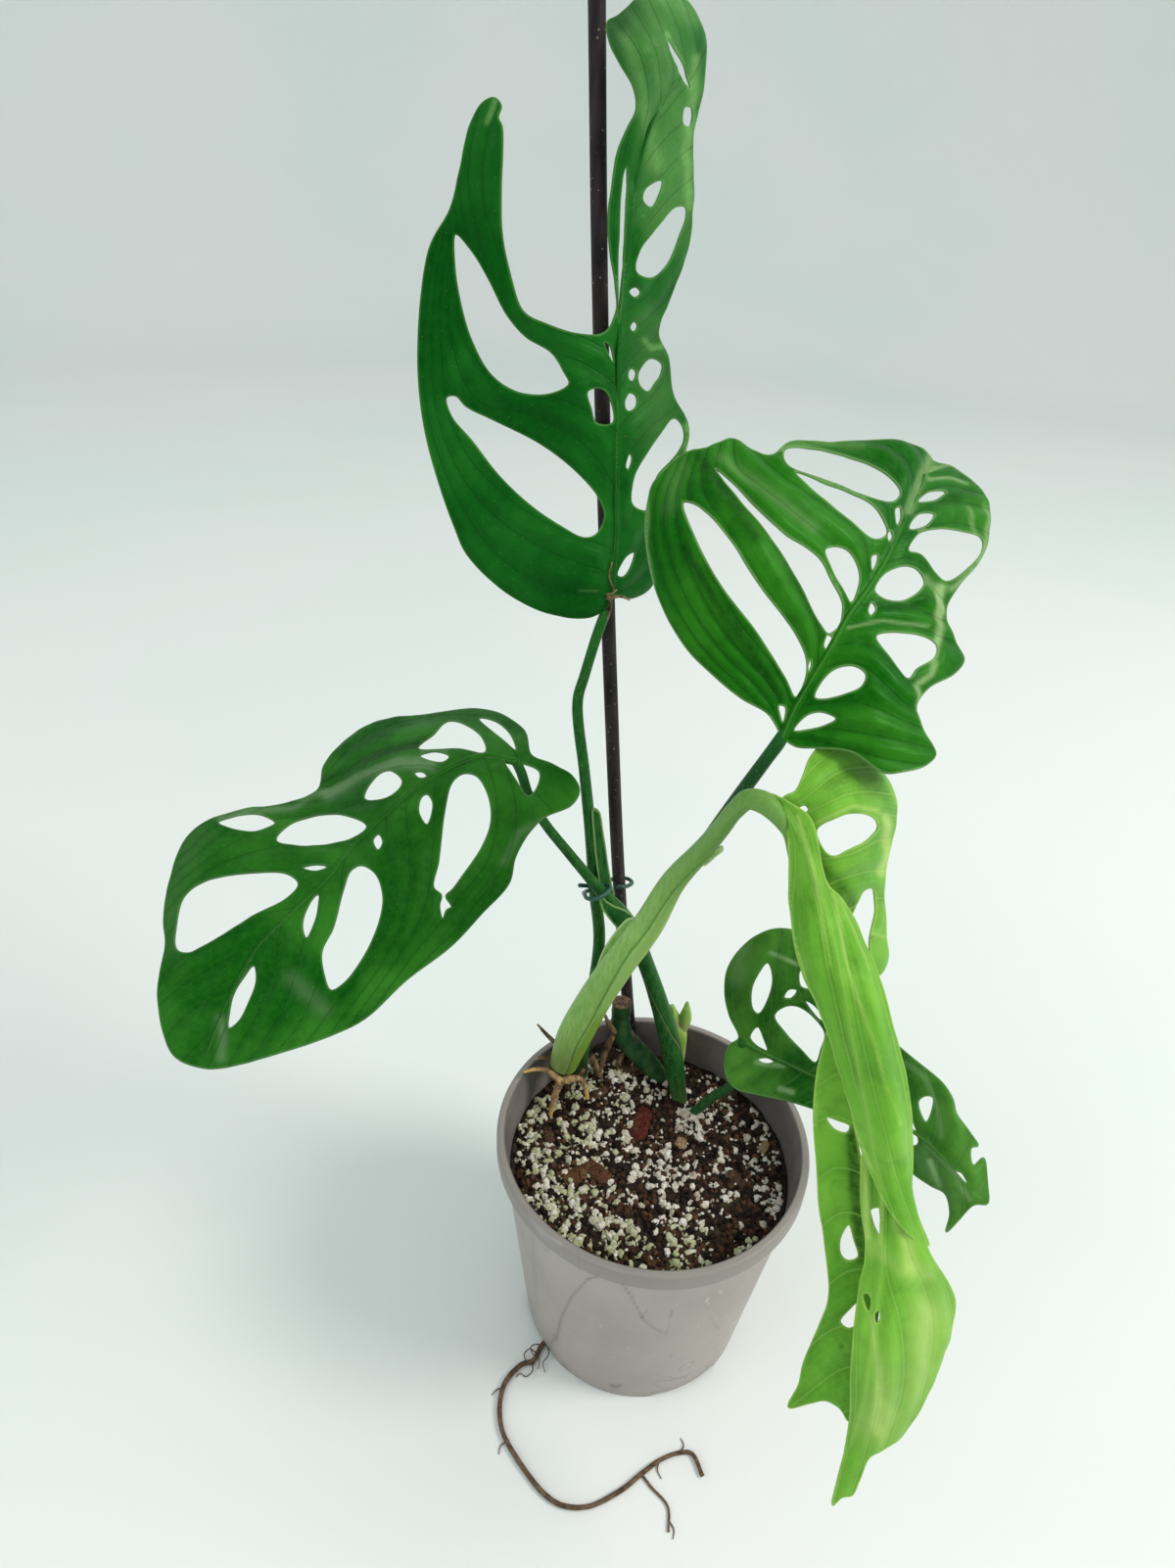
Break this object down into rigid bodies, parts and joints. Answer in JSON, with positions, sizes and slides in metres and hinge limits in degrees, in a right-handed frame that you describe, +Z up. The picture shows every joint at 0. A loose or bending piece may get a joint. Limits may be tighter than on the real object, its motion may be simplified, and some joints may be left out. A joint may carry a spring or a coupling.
{
  "type": "potted monstera epipremnoides",
  "caption": "Young monstera in a tapered nursery pot: long leaves full of holes on slender stalks, tied to a thin stake, with roots at the stem.",
  "frame": {"origin": "middle of the pot's underside, on the surface it stands on", "axes": "+Z up along the pot, +X to the right and -Y towards the viewer of the picture"},
  "size_m": [0.2778, 0.2156, 0.4698],
  "materials": {
    "pot_plastic": "satin",
    "growing_mix": "loose and rough",
    "stake": "satin",
    "tie": "satin",
    "rhizome": "waxy, with a corky cut end",
    "roots": "dry",
    "new_shoot": "waxy",
    "old_root": "dry",
    "leaf_stalk": "waxy",
    "young_stalk": "waxy",
    "leaf": "satin, waxy",
    "young_leaf": "satin, waxy"
  },
  "bodies": {
    "root": {"pot": "pot_plastic", "growing_mix": "growing_mix", "stake": "stake", "wire_tie": "tie", "rhizome": "rhizome", "aerial_roots": "roots", "new_shoot": "new_shoot", "escaped_root": "old_root", "leaf_stalk_1": "leaf_stalk", "leaf_blade_1": "leaf", "leaf_stalk_2": "leaf_stalk", "leaf_blade_2": "leaf", "leaf_stalk_3": "leaf_stalk", "leaf_blade_3": "leaf", "leaf_stalk_4": "young_stalk", "leaf_blade_4": "young_leaf", "leaf_stalk_5": "leaf_stalk", "leaf_blade_5": "leaf"}
  },
  "joints": []
}
